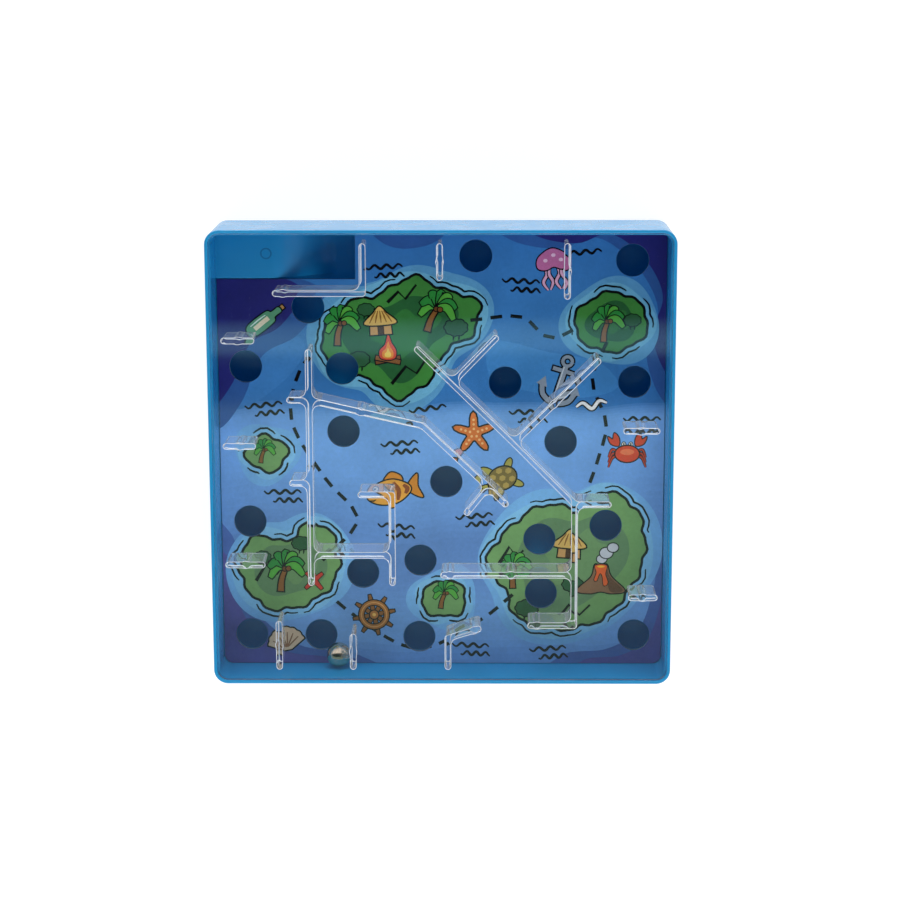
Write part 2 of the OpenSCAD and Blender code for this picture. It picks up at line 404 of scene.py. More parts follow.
def clear_polystyrene(colour):
    """Crystal-clear polystyrene: a mirror-smooth, slightly wavy skin that bends light strongly, with a few
    faint rubbing marks.

    The cover's rounded edge and the walls' rounded roots and tips are painted pale as highlights, and the
    walls' drafted sides carry a faint pale veil. The attribute haze says how white, and a weak painted glow
    stands for light that runs inside the plastic to its edges. Light on its way to the card passes straight
    through, as through a flat sheet."""
    material, tree = new_material("clear_polystyrene")
    where = add_node(tree, "TexCoord").outputs["Object"]
    slant = add_node(tree, "Mapping", {"Vector": where, "Rotation": (0, 0, 0.6), "Scale": (1, 0.03, 1)})
    rubs = add_node(tree, "TexNoise", {"Vector": slant.outputs[0], "Scale": per_mm(0.7), "Detail": 2})
    gloss = add_node(tree, "MapRange", {"Value": rubs.outputs["Fac"], 1: 0.62, 2: 0.8, 3: 0.0, 4: 0.09})
    # The haze paints pale highlights on rounded edges and a faint veil on the walls' sides; the glow is
    # painted light
    haze = add_node(tree, "Attribute", attribute_name="haze", attribute_type="GEOMETRY")
    clear = add_node(tree, "Math", {0: 1.0, 1: haze.outputs["Fac"]}, operation="SUBTRACT")
    sag = add_node(tree, "TexNoise", {"Vector": where, "Scale": per_mm(60), "Detail": 0})
    wave = add_node(tree, "Bump", {"Height": sag.outputs["Fac"], "Strength": 1.0, "Distance": 0.08 * MM})
    glow = add_node(tree, "Math", {0: haze.outputs["Fac"], 1: 0.2}, operation="MULTIPLY")
    plastic = add_node(tree, "BsdfPrincipled", {
        "Base Color": (*colour, 1), "Roughness": gloss.outputs["Result"], "Normal": wave.outputs[0],
        "IOR": 1.59, "Transmission Weight": clear.outputs[0],
        "Emission Color": (1, 1, 1, 1), "Emission Strength": glow.outputs[0]})
    unbent = add_node(tree, "BsdfTransparent", {"Color": (0.92, 0.93, 0.94, 1)})
    ray = add_node(tree, "LightPath")
    lighting = add_node(tree, "Math", {0: ray.outputs["Is Shadow Ray"], 1: ray.outputs["Is Diffuse Ray"]},
                        operation="MAXIMUM")
    mix = add_node(tree, "MixShader", {0: lighting.outputs[0], 1: plastic.outputs[0], 2: unbent.outputs[0]})
    add_node(tree, "OutputMaterial", {"Surface": mix.outputs[0]})
    return material


def printed_card():
    """Paperboard printed in flat inks and varnished: slightly uneven ink, fine fibres and a soft sheen."""
    material, tree = new_material("varnished_printed_paperboard")
    where = add_node(tree, "TexCoord").outputs["Object"]
    ink = add_node(tree, "Attribute", attribute_name="ink", attribute_type="GEOMETRY")
    wash = add_node(tree, "TexNoise", {"Vector": where, "Scale": per_mm(16), "Detail": 4})
    fibre = add_node(tree, "TexNoise", {"Vector": where, "Scale": per_mm(0.9), "Detail": 3})
    uneven = add_node(tree, "MapRange", {"Value": wash.outputs["Fac"], 1: 0.3, 2: 0.7, 3: 0.86, 4: 1.12})
    grain = add_node(tree, "MapRange", {"Value": fibre.outputs["Fac"], 1: 0.3, 2: 0.7, 3: 0.95, 4: 1.05})
    strength = add_node(tree, "Math", {0: uneven.outputs[0], 1: grain.outputs[0]}, operation="MULTIPLY")
    tone = add_node(tree, "VectorMath", {0: ink.outputs["Color"], "Scale": strength.outputs[0]},
                    operation="SCALE")
    bump = add_node(tree, "Bump", {"Height": fibre.outputs["Fac"], "Strength": 0.1, "Distance": 0.03 * MM})
    surface = add_node(tree, "BsdfPrincipled", {
        "Base Color": tone.outputs[0], "Roughness": 0.5, "Normal": bump.outputs["Normal"], "IOR": 1.5,
        "Specular IOR Level": 0.1})
    add_node(tree, "OutputMaterial", {"Surface": surface.outputs[0]})
    return material


def polished_steel(colour):
    """Ground and polished bearing steel: a mirror with a slight haze of fine scratches."""
    material, tree = new_material("polished_bearing_steel")
    where = add_node(tree, "TexCoord").outputs["Object"]
    haze = add_node(tree, "TexNoise", {"Vector": where, "Scale": per_mm(0.8), "Detail": 4})
    gloss = add_node(tree, "MapRange", {"Value": haze.outputs["Fac"], 1: 0.35, 2: 0.7, 3: 0.04, 4: 0.12})
    surface = add_node(tree, "BsdfPrincipled", {
        "Base Color": (*colour, 1), "Metallic": 1.0, "Roughness": gloss.outputs["Result"]})
    add_node(tree, "OutputMaterial", {"Surface": surface.outputs[0]})
    return material


# Drawing of the printed chart: a shape is a closed outline in millimetres and its ink

def cubic(a, b, c, d, per):
    """Catmull-Rom cubics from b to c for rows of four neighbouring points, in so many steps each."""
    t = (np.arange(per) / per)[None, :, None]
    curve = b + 0.5 * t * (c - a + t * (2 * a - 5 * b + 4 * c - d + t * (3 * (b - c) + d - a)))
    return curve.reshape(-1, 2)


def smooth_loop(points, per=8):
    """Closed smooth curve through points."""
    p = np.asarray(points, float)
    return cubic(*(np.roll(p, -shift, axis=0)[:, None] for shift in (-1, 0, 1, 2)), per)


def smooth_path(points, per=8):
    """Open smooth curve through points, with its ends carried straight on."""
    p = np.asarray(points, float)
    p = np.r_[[2 * p[0] - p[1]], p, [2 * p[-1] - p[-2]]]
    return np.r_[cubic(*(p[i:len(p) - 3 + i, None] for i in range(4)), per), p[-2:-1]]


def grow(outline, distance):
    """An outline with its edges moved out by a distance."""
    return outline + distance * mitres(outline)


def ellipse(x, y, width, height, turn=0.0, count=24):
    """Closed ellipse about a centre, turned by degrees."""
    t = np.linspace(0, 2 * math.pi, count, endpoint=False)
    return turned(np.c_[width / 2 * np.cos(t), height / 2 * np.sin(t)], turn) + (x, y)


def heading(degrees):
    """Unit vector at an angle from +X."""
    return np.array([math.cos(math.radians(degrees)), math.sin(math.radians(degrees))])


def turned(points, degrees):
    """Points turned about the origin."""
    c, s = heading(degrees)
    return np.asarray(points, float) @ np.array([[c, s], [-s, c]])


def band(path, width):
    """Closed outline of a band of one width, or of a width for each point, along an open path."""
    path = np.asarray(path, float)
    along = np.gradient(path, axis=0)
    along /= np.linalg.norm(along, axis=1, keepdims=True)
    side = np.c_[-along[:, 1], along[:, 0]] * np.broadcast_to(width, len(path))[:, None] / 2
    return np.r_[path - side, (path + side)[::-1]]


def brush(path, width):
    """A band that thins towards both ends, as a brush stroke does."""
    return band(path, width * np.sin(np.linspace(0.12, 0.88, len(path)) * math.pi) ** 0.6)


def drawn(outline, ink, line=0.35):
    """A shape with a black line around it."""
    outline = outline[winding(outline)]
    return [(grow(outline, line), INK), (outline, ink)]


def placed(shapes, x, y, size=1.0, turn=0.0):
    """Shapes scaled, turned and moved to their place."""
    return [(turned(outline * size, turn) + (x, y), ink) for outline, ink in shapes]


def ring(radius, width, count=32):
    """A circular band, open by a hair so that it is one outline."""
    t = np.linspace(0.001, 2 * math.pi - 0.001, count)
    return band(radius * np.c_[np.cos(t), np.sin(t)], width)


def palm():
    """A palm tree: a bent trunk and seven drooping leaves."""
    crown = np.array([1.5, 5.0])
    trunk = smooth_path([(0, 0), (0.4, 2.4), crown])
    shapes = drawn(band(trunk, np.linspace(1.2, 0.7, len(trunk))), "8a5a2b", 0.3)
    for angle in (200, 165, 125, 85, 50, 15, -20):
        aim = 3.6 * heading(angle)
        leaf = smooth_path([crown, crown + aim * 0.55 + (0, 0.7), crown + aim - (0, 0.8)])
        shapes += drawn(brush(leaf, 1.5), "2f8f3c" if angle % 2 else "57ad3f", 0.25)
    for x, ink in ((1.2, "6b4220"), (1.95, "7a4c25")):
        shapes += drawn(ellipse(x, 4.6, 0.9, 0.9), ink, 0.2)
    return shapes


def fish():
    """A striped fish that swims to the left."""
    body = smooth_loop([(-6, 0), (-3.6, 2.4), (0.6, 2.9), (4, 0.9), (4, -0.9), (0.6, -2.7), (-3.6, -2.2)])
    tail = smooth_loop([(3.6, 0), (6.6, 2.9), (6.1, 0), (6.6, -2.9)])
    fin = smooth_loop([(-1.6, 2.3), (0.6, 4.6), (2.8, 3.3), (2.4, 1.6)])
    shapes = drawn(tail, "d98a26") + drawn(fin, "d98a26") + drawn(body, "e8a33a")
    for x, reach in ((-1.6, 2.1), (0.8, 2.2), (2.9, 1.1)):
        shapes.append((brush(smooth_path([(x, reach), (x + 0.7, 0), (x, -reach)]), 1.1), "8f4a1d"))
    shapes += drawn(ellipse(-3.9, 0.7, 1.2, 1.2), "f2eee0", 0.2)
    mouth = brush([(-5.6, -0.8), (-4.9, -1.1), (-4.2, -0.9)], 0.4)
    return shapes + [(ellipse(-4.1, 0.7, 0.55, 0.55), INK), (mouth, INK)]


def anchor():
    """A stocked anchor with its ring and two flukes."""
    arm = smooth_path([(-4.4, -1.2), (-3.2, -3.9), (0, -5.2), (3.2, -3.9), (4.4, -1.2)])
    parts = [ring(1.2, 0.8) + (0, 6.1), band([(0, 5.0), (0, 0), (0, -5.0)], 1.3),
             band([(-3, 3.4), (0, 3.5), (3, 3.4)], 1.0), band(arm, 1.2),
             np.array([(-5.8, -1.5), (-4.1, 0.9), (-2.9, -1.8)]),
             np.array([(5.8, -1.5), (2.9, -1.8), (4.1, 0.9)])]
    outlines = [ring(1.2, 1.6) + (0, 6.1)] + [grow(part, 0.4) for part in parts[1:]]
    shine = band([(-0.35, 4.5), (-0.35, 0), (-0.35, -4.2)], 0.3)
    return [(o, INK) for o in outlines] + [(part, "8b98a5") for part in parts] + [(shine, "c3ccd3")]


def wheel():
    """A ship's wheel with eight turned spokes."""
    shapes = []
    for angle in range(0, 360, 45):
        spoke = turned(brush(np.c_[np.linspace(0.6, 6, 12), np.zeros(12)], 1.1), angle)
        shapes += drawn(spoke, "8d5a2a", 0.3)
    shapes += [(ring(3.6, 2.0), INK), (ring(3.6, 1.3), "a86c33"), (ring(3.6, 0.3), "d39b59")]
    return shapes + drawn(ellipse(0, 0, 2.4, 2.4), "a86c33") + [(ellipse(0, 0, 1.0, 1.0), "e0b55c")]


def crab():
    """A crab with raised claws."""
    shapes = []
    for side in (-1, 1):
        for angle in (-35, -12, 12):
            leg = smooth_path([(1.5, -0.4), (3.7, 0.6 + angle / 22), (4.8, -1.6 + angle / 18)]) * (side, 1)
            shapes.append((brush(leg, 0.9), INK))
            shapes.append((brush(leg, 0.45), "c23b24"))
        claw = smooth_loop([(2.2, 2.2), (4.1, 2.6), (4.9, 4.4), (3.7, 3.8), (3.3, 5.4), (2.2, 4.2)])
        shapes += drawn(claw * (side, 1), "d9472b", 0.3)
        shapes += drawn(ellipse(side * 0.9, 2.4, 0.9, 1.3), "f2eee0", 0.2)
        shapes.append((ellipse(side * 0.9, 2.6, 0.45, 0.5), INK))
    return shapes + drawn(ellipse(0, 0, 6, 4.2), "d9472b") + [(ellipse(0, 0.5, 3.6, 1.6), "ec7a4c")]


def starfish():
    """A five-armed starfish with a row of dots on each arm."""
    t = np.linspace(0, 2 * math.pi, 60, endpoint=False)
    reach = 1.6 + 3.0 * ((1 + np.cos(5 * t)) / 2) ** 2
    shapes = drawn(reach[:, None] * np.c_[np.cos(t), np.sin(t)], "e0762c")
    for angle in range(0, 360, 72):
        shapes += [(turned(ellipse(x, 0, 0.55, 0.55, count=10), angle), "f7c37a") for x in (0.9, 1.9, 2.9)]
    return shapes


def jellyfish():
    """A jellyfish: a spotted dome with trailing arms."""
    shapes = []
    for x, sway in ((-2.4, 0.5), (-0.9, -0.4), (0.8, 0.5), (2.3, -0.5)):
        arm = smooth_path([(x, 0.4), (x + sway, -1.8), (x - sway, -3.8), (x + sway, -5.8)])
        shapes += [(brush(arm, 1.3), INK), (brush(arm, 0.7), "e2a9c4")]
    dome = [(-4, 0), (-3.6, 2.6), (0, 4.6), (3.6, 2.6), (4, 0), (2, -0.7), (0, 0), (-2, -0.7)]
    shapes += drawn(smooth_loop(dome, 6), "c96f9f")
    return shapes + [(ellipse(x, y, 1.1, 0.9), "f0c4d8") for x, y in ((-1.9, 1.7), (0.2, 2.9), (2.0, 1.6))]


def hut():
    """A thatched hut."""
    wall = np.array([(-2.6, -2.6), (2.6, -2.6), (2.4, 1.0), (-2.4, 1.0)])
    thatch = smooth_loop([(-3.9, 0.2), (0, -0.3), (3.9, 0.2), (1.6, 2.6), (0, 4.2), (-1.6, 2.6)], 5)
    door = np.array([(-0.8, -2.6), (0.8, -2.6), (0.8, -0.3), (-0.8, -0.3)])
    shapes = drawn(wall, "c99a5b") + [(door, "4a2c17")] + drawn(thatch, "d9b25e")
    return shapes + [(brush([(x * 0.35, 3.2), (x * 0.7, 1.8), (x, 0.3)], 0.4), "8a5f2a")
                     for x in (-2.6, -1.2, 0.2, 1.5, 2.8)]


def volcano():
    """A smoking volcano with two streams of lava."""
    cone = smooth_loop([(-6.5, -3.6), (-2.6, 0.2), (-1.6, 3.6), (0, 3.1), (1.6, 3.6), (2.7, 0.4),
                        (6.5, -3.6), (3.0, -4.4), (0, -3.9), (-3.0, -4.4)], 6)
    shade = smooth_loop([(0.6, 3.1), (1.5, 3.2), (2.5, 0.3), (6.0, -3.5), (3.0, -4.1), (1.8, -2.0)], 6)
    lava = smooth_loop([(-1.5, 3.4), (1.5, 3.4), (1.2, 1.0), (1.9, -1.4), (0.8, -2.2), (0.4, 0.4),
                        (-0.3, 1.2), (-1.1, -0.8), (-1.8, -0.6), (-1.2, 1.4)], 5)
    shapes = []
    for x, y, size in ((0.2, 5.2, 2.6), (1.4, 6.9, 3.4), (3.2, 8.4, 2.8)):
        shapes += drawn(ellipse(x, y, size, size * 0.85), "c4c9cc", 0.3)
    return shapes + drawn(cone, "8a6547") + [(shade, "644631")] + drawn(lava, "e2622a", 0.2) \
        + [(ellipse(0, 3.1, 2.0, 0.6), "f7b733")]


def turtle():
    """A swimming turtle seen from above."""
    shapes = []
    for x, y, turn in ((-2.6, 3.0, 130), (-2.6, -3.0, 230), (2.6, 2.4, 45), (2.6, -2.4, -45)):
        shapes += drawn(ellipse(x, y, 3.6, 1.5, turn), "a9a24a", 0.3)
    shapes += drawn(ellipse(-4.6, 0, 2.6, 2.0), "a9a24a", 0.3) + drawn(ellipse(0, 0, 7.0, 5.6), "7c6a34")
    for x, y in ((0, 0), (2.1, 1.1), (2.1, -1.1), (-2.1, 1.1), (-2.1, -1.1), (0, 2.0), (0, -2.0)):
        shapes.append((ellipse(x, y, 1.7, 1.5, count=6), "b39a4e"))
    return shapes + [(ellipse(-5.2, y, 0.4, 0.4, count=10), INK) for y in (0.5, -0.5)]


def scallop():
    """A ribbed scallop shell."""
    t = np.linspace(math.radians(10), math.radians(170), 45)
    edge = (4.2 + 0.25 * np.abs(np.sin(8 * t)))[:, None] * np.c_[np.cos(t), np.sin(t)]
    shapes = drawn(np.r_[[(0.9, -1.2)], edge, [(-0.9, -1.2)]], "e6c7a3")
    for angle in range(35, 150, 22):
        aim = heading(angle)
        shapes.append((brush(np.outer(np.linspace(0.1, 3.8, 8), aim) - (0, 0.6), 0.35), "9b6a4a"))
    return shapes


def gull():
    """A gull: two curved wings."""
    wings = smooth_path([(-3.6, 0.9), (-1.9, 1.6), (0, 0), (1.9, 1.6), (3.6, 0.9)])
    return [(brush(wings, 1.5), INK), (brush(wings, 0.8), "f3f3ef")]


def bottle():
    """A corked green bottle that floats on its side."""
    glass = smooth_loop([(-4.6, -1.4), (1.2, -1.6), (2.4, -0.7), (4.4, -0.6), (4.4, 0.6), (2.4, 0.7),
                         (1.2, 1.6), (-4.6, 1.4)], 6)
    cork, letter = band([(4.2, 0), (5.6, 0)], 1.0), band([(-3.4, -0.1), (-0.5, 0), (1.0, 0)], 1.1)
    shine = brush([(-3.8, 1.0), (-1.4, 1.1), (0.8, 1.0)], 0.35)
    return drawn(cork, "b98a52", 0.3) + drawn(glass, "5f9f78") + [(letter, "ece0bf"), (shine, "d6ecdf")]


def campfire():
    """Logs and a flame."""
    shapes = []
    for slope, ink in ((0.5, "7a4a24"), (-0.5, "8d5a2e")):
        shapes += drawn(band([(-2.6, -0.9 - slope), (2.6, -0.9 + slope)], 0.9), ink, 0.25)
    flame = smooth_loop([(-1.6, -0.4), (-1.7, 1.2), (-0.6, 2.4), (0.1, 4.6), (0.8, 2.8), (1.7, 1.3),
                         (1.6, -0.4), (0, -0.9)], 5)
    shapes += drawn(flame, "d8452a", 0.25)
    return shapes + [(flame * size, ink) for size, ink in ((0.68, "ef8f2e"), (0.38, "f8d25a"))]


def bush():
    """A leafy bush with a scalloped edge and two twigs."""
    t = np.linspace(0, 2 * math.pi, 48, endpoint=False)
    reach = 1 + 0.14 * np.abs(np.sin(4.5 * t))
    leaf = reach[:, None] * np.c_[2.6 * np.cos(t), 1.9 * np.sin(t)]
    twigs = [(brush([(x, -1.6), (x + 0.1, -2.6), (x, -3.4)], 0.5), INK) for x in (-0.7, 0.7)]
    return twigs + drawn(leaf, "2a5a35", 0.32)


def cross():
    """Two crossed brush strokes."""
    paths = [(-2.4, -2.2), (0, 0.2), (2.4, 2.2)], [(-2.2, 2.4), (0.2, 0), (2.2, -2.4)]
    strokes = [brush(path, 1.4) for path in paths]
    return [(grow(s, 0.25), INK) for s in strokes] + [(s, "c8392b") for s in strokes]


def wave_lines(x, y, count, length=10.5, turn=0.0):
    """A stack of wavy brush lines, each a little shifted."""
    t = np.linspace(-0.5, 0.5, 40)
    shapes = []
    for i in range(count):
        along = t * length * (1 - 0.2 * i) + 1.5 * (i % 2)
        line = np.c_[along, 0.55 * np.sin(t * length * 1.9 + i) - 2.4 * i]
        shapes.append((turned(brush(line, 0.8), turn) + (x, y), INK))
    return shapes


def dashes(path, dash=3.3, gap=2.3, width=1.0):
    """Straight dashes of one length, spaced evenly along a path."""
    step = np.r_[0, np.cumsum(np.linalg.norm(np.diff(path, axis=0), axis=1))]
    starts = np.arange(0, step[-1] - dash, dash + gap)
    ends = np.stack([starts, starts + dash], axis=1)
    pairs = np.stack([np.interp(ends, step, places) for places in path.T], axis=-1)
    return [(band(pair, width), INK) for pair in pairs]


def blend(one, other, share):
    """A mix of two inks."""
    return [a + (b - a) * share for a, b in zip(one, other)]


def island(points, waters, phase, greens):
    """An island: two pale waters round it, a broken line off the coast, the coast's own line and its greens.

    The coast is a smooth loop with a small wobble of two sines along its length, the first about every 9 mm
    and the second about every 4 mm. The water is the same loop, smoothed and moved out."""
    spacing = 0.8
    smooth = evened(smooth_loop(points, 10), spacing, 2)
    smooth = smooth[winding(smooth)]
    t = np.arange(len(smooth)) * 2 * math.pi / len(smooth)
    length = spacing * len(smooth)
    wobble = 0.5 * np.sin(round(length / 9) * t + phase) + 0.2 * np.sin(round(length / 4) * t + 2 * phase)
    coast = grow(smooth, wobble[:, None])
    calm = evened(smooth, spacing, 24)
    turn = np.arange(len(calm)) * 2 * math.pi / len(calm)
    wide = grow(calm, (4.6 + 0.9 * np.sin(3 * turn + phase))[:, None])
    near = grow(calm, (2.9 + 0.6 * np.sin(4 * turn + 2 * phase))[:, None])
    shapes = [(wide, waters[0]), (near, waters[1])]
    off_coast = np.tile(grow(coast, 1.9), (2, 1))
    for start in np.linspace(0, 1, 5, endpoint=False):
        first = int((start + 0.03 * math.sin(phase + 9 * start)) % 1 * len(coast))
        shapes.append((brush(off_coast[first:first + int(0.15 * len(coast))], 0.6), INK))
    shapes += [(grow(coast, 0.75), INK), (coast, greens[0])]
    room_for_hills = 45
    if length > room_for_hills:
        middle = calm.mean(axis=0)
        inland = middle + (calm - middle) * (0.74 + 0.07 * np.sin(3 * turn + phase))[:, None]
        summit = middle + (0.12 * length / 9, 0.4)
        hills = summit + (calm - middle) * (0.42 + 0.08 * np.sin(5 * turn + phase))[:, None]
        shapes += [(inland, greens[1]), (hills, greens[2])]
    return shapes


def sea_bands(stops):
    """The sea paling from north to south: wavy bands, each in the blend of the inks (place, ink) around it.

    Each edge is a sum of two sines. The bands are narrow in the north, where the ink changes fast."""
    places, inks = np.array([place for place, _ in stops]), np.array([linear(ink) for _, ink in stops])
    past_card, narrow, wide, widen_at = 66, 0.7, 2, 4
    x = np.linspace(-past_card, past_card, 45)
    line = np.c_[x, 0.8 * np.sin(x / 9) + 0.4 * np.sin(x / 4.1 + 1)]
    edges = np.r_[np.arange(places[0], widen_at, -narrow), np.arange(widen_at, places[-1], -wide)]
    blends = np.stack([np.interp(-edges, -places, channel) for channel in inks.T], axis=-1)
    return [(np.r_[line + (0, lower), (line + (0, upper))[::-1]], tuple(ink))
            for upper, lower, ink in zip(edges[:-1], edges[1:], blends)]


def ridge(points):
    """A zigzag hill line."""
    return [(band(np.asarray(points, float), np.linspace(1.0, 0.6, len(points))), INK)]


def chart(colours):
    """Every printed shape, from the bottom ink to the top one."""
    sea, deep, shallow = colours["sea"], colours["deep"], colours["shallow"]
    # The sea bands are partly printed tone and partly painted light: darker in the north, in the shade of the
    # tray's back wall,
    # paler southwards where more light falls, and darker in the last few mm at the south edge as painted
    # shade of the front wall
    shapes = sea_bands(((14, "3b7bba"), (12.5, "5a93d0"), (9.8, "70a6e2"), (4, "77adea"), (-4, "75aae7"),
                        (-14, "6d9ed9"), (-26, "628dc7"), (-37, "6490cb"), (-46, "70a2da"),
                        (-53, "7aade6"), (-58, "6a9ad4"), (-66, "5a88c0")))
    shapes += [(smooth_loop(patch, 10), ink) for patch, ink in (
        ([(14, 31), (30, 28), (44, 25), (49, 18), (38, 15), (24, 17), (14, 20)], "4489c7"),
        ([(-58, 12), (-44, 20), (-38, 30), (-46, 34), (-58, 30)], "4283c2"))]
    for zone in (
            [(-70, 49), (-42, 49), (-33, 44), (-40, 33), (-50, 27), (-56, 14), (-63, 6), (-70, 10)],
            [(-70, -70), (-70, -20), (-60, -24), (-57, -36), (-53, -47), (-41, -57), (-24, -60), (-12, -70)],
            [(70, 70), (10, 70), (18, 60), (32, 57), (43, 60), (54, 52), (60, 40), (57, 27), (62, 14),
             (70, 12)],
            [(70, -70), (28, -70), (34, -60), (47, -58), (56, -52), (60, -40), (62, -28), (70, -26)],
            [(-24, 70), (4, 70), (0, 60), (-10, 57), (-18, 60)]):
        middle = np.mean(zone, axis=0)
        inner = middle + (np.array(zone) - middle) * 0.86 + np.sign(middle) * 3.0
        depth = deep if middle[1] > 0 else blend(deep, linear("7d78c4"), 0.45)
        shapes += [(smooth_loop(zone, 10), blend(depth, sea, 0.5)), (smooth_loop(inner, 10), depth)]
    for phase, coast in (
            (0.4, [(-33, 33), (-27, 41), (-17, 44), (-8, 49), (1, 45), (10, 42), (8, 33), (1, 29), (-4, 20),
                   (-13, 15), (-20, 21), (-29, 22)]),
            (1.7, [(13, -32), (20, -22), (29, -16), (38, -17), (46, -12), (55, -18), (57, -30), (53, -40),
                   (45, -49), (33, -52), (22, -49), (18, -40)]),
            (2.9, [(-58, -33), (-52, -25), (-44, -27), (-37, -21), (-30, -27), (-31, -38), (-40, -45),
                   (-51, -45)]),
            (4.1, [(37, 36), (42, 43), (51, 44), (57, 37), (53, 30), (43, 29)]),
            (5.0, [(-6, -43), (0, -38), (6, -41), (5, -47), (-2, -48)]),
            (0.9, [(-55, 0), (-50, 4), (-44, 1), (-46, -5), (-52, -5)])):
        # The southern islands get lighter waters and greens, painted as sunlit copies; the northern ones are
        # the shaded copies
        northern = np.mean(coast, axis=0)[1] > 10
        waters = (blend(sea, shallow, 0.55), shallow) if northern else ("78b4e4", "84c2e6")
        greens = ("275f33", "327436") if northern else ("648a5e", "6e9660")
        shapes += island(coast, waters, phase, (colours["land" if northern else "sunlit_land"], *greens))
    for route in ([(-34, -32), (-24, -20), (-33, -8), (-42, 8), (-40, 22), (-33, 31)],
                  [(8, 37), (22, 38), (30, 32), (40, 36)],
                  [(46, 31), (42, 20), (46, 8), (44, -2), (40, -14)],
                  [(20, -42), (10, -50), (-8, -58), (-28, -46), (-32, -40)]):
        shapes += dashes(smooth_path(route, 14))
    for points in ([(-15, 42), (-12, 45), (-10, 43), (-7, 47)],
                   [(-14, 19), (-10, 24), (-7, 22), (-3, 28)],
                   [(16, -33), (19, -28), (21, -31), (23, -29)],
                   [(33, -49), (36, -45), (39, -48), (42, -45)],
                   [(-53, -38), (-50, -33), (-47, -36), (-43, -30)]):
        shapes += ridge(points)
    for x, y, count, turn in ((-12, 2, 2, 4), (22, 48, 2, -4), (-50, 13, 2, 6), (24, 11, 2, 0),
                              (-13, -22, 2, -6), (9, -19, 2, 5), (-45, -12, 2, 0), (8, -57, 2, -3),
                              (39, 56, 1, 5), (-4, 12, 1, 8), (-16, 52, 2, 3), (56, 9, 1, 0),
                              (30, -58, 2, 4)):
        shapes += wave_lines(x, y, count, turn=turn)
    for x, y, size in ((-23, 26, 1.0), (4, 35, 1.1), (-21, 40, 0.8), (37, -39, 1.0), (-40, -27, 0.9),
                       (53, 37, 0.8), (24, -46, 1.1), (-51, -31, 0.8)):
        shapes += placed(bush(), x, y, size)
    for motif, x, y, size, turn in (
            (palm, -29, 30, 1.3, 6), (palm, -4, 34, 1.4, -8), (palm, -46, -41, 1.4, 4),
            (palm, 45, 31, 1.2, 5), (palm, 20, -40, 1.2, 10), (palm, -0.5, -46, 0.95, 0),
            (palm, -51, -3.5, 0.8, 0), (campfire, -15, 27, 1.3, 0), (hut, -17, 36, 1.15, 4),
            (hut, 36, -28, 1.2, -4), (volcano, 45, -37, 1.05, 0), (fish, -14, -12, 1.2, 14),
            (anchor, 33, 19, 1.1, -18), (wheel, -19.5, -48, 1.0, 12), (crab, 52, -1, 1.1, 0),
            (starfish, 9, 5, 1.3, 20), (jellyfish, 31, 52, 1.1, 6), (turtle, 17, -8, 1.15, 25),
            (scallop, -44.5, -57, 1.2, 12), (gull, 42, 12, 1.2, 8), (gull, -17, 10, 1.1, -10),
            (bottle, -49, 37, 1.15, 38), (cross, -36.5, -38, 1.0, 0)):
        shapes += placed(motif(), x, y, size, turn)
    return shapes


# Stage

def place_camera(scene):
    """A camera fitted to the tray's corners: above the puzzle and a little towards its start edge."""
    camera = bpy.data.objects.new("camera", bpy.data.cameras.new("camera"))
    camera.data.lens = 98.19
    camera.data.sensor_width = 36
    eye, up = Vector((0.0106, 0.1492, 0.6843)), Vector((-0.0003, 0.9763, -0.2162))
    forward = Vector((-0.0121, -0.2162, -0.9763)).normalized()
    right = forward.cross(up).normalized()
    axes = Matrix((right, right.cross(forward), -forward)).transposed()
    camera.matrix_world = Matrix.Translation(eye) @ axes.to_4x4()
    scene.collection.objects.link(camera)
    scene.camera = camera


def stage_plane(name, low, high, height, material):
    """A level rectangle between two corners, in metres, that isn't part of the object."""
    mesh = bpy.data.meshes.new(name)
    corners = (low[0], low[1]), (high[0], low[1]), (high[0], high[1]), (low[0], high[1])
    mesh.from_pydata([(*corner, height) for corner in corners], [], [(0, 1, 2, 3)])
    mesh.materials.append(material)
    plane = bpy.data.objects.new(name, mesh)
    bpy.context.scene.collection.objects.link(plane)
    return plane


def seen_directly(tree):
    """1 for rays that show a thing, directly, mirrored or through glass, and 0 for rays that only light."""
    ray = add_node(tree, "LightPath")
    shown = add_node(tree, "Math", {0: ray.outputs["Is Camera Ray"], 1: ray.outputs["Is Glossy Ray"]},
                     operation="MAXIMUM")
    return add_node(tree, "Math", {0: shown.outputs[0], 1: ray.outputs["Is Transmission Ray"]},
                    operation="MAXIMUM").outputs[0]


def lay_floor():
    """A floor of white paper, shown as white light under a grey veil that keeps the object's shadow."""
    floor, tree = new_material("white_studio_floor")
    paper = add_node(tree, "BsdfDiffuse", {"Color": (0.8, 0.8, 0.8, 1)})
    veil = add_node(tree, "BsdfDiffuse", {"Color": (0.35, 0.35, 0.36, 1)})
    white = add_node(tree, "Emission", {"Color": (1, 1, 1, 1), "Strength": 0.8})
    shown = add_node(tree, "AddShader", {0: veil.outputs[0], 1: white.outputs[0]})
    mix = add_node(tree, "MixShader", {0: seen_directly(tree), 1: paper.outputs[0], 2: shown.outputs[0]})
    add_node(tree, "OutputMaterial", {"Surface": mix.outputs[0]})
    just_below = -0.0002
    stage_plane("floor", (-4, -4), (4, 4), just_below, floor)


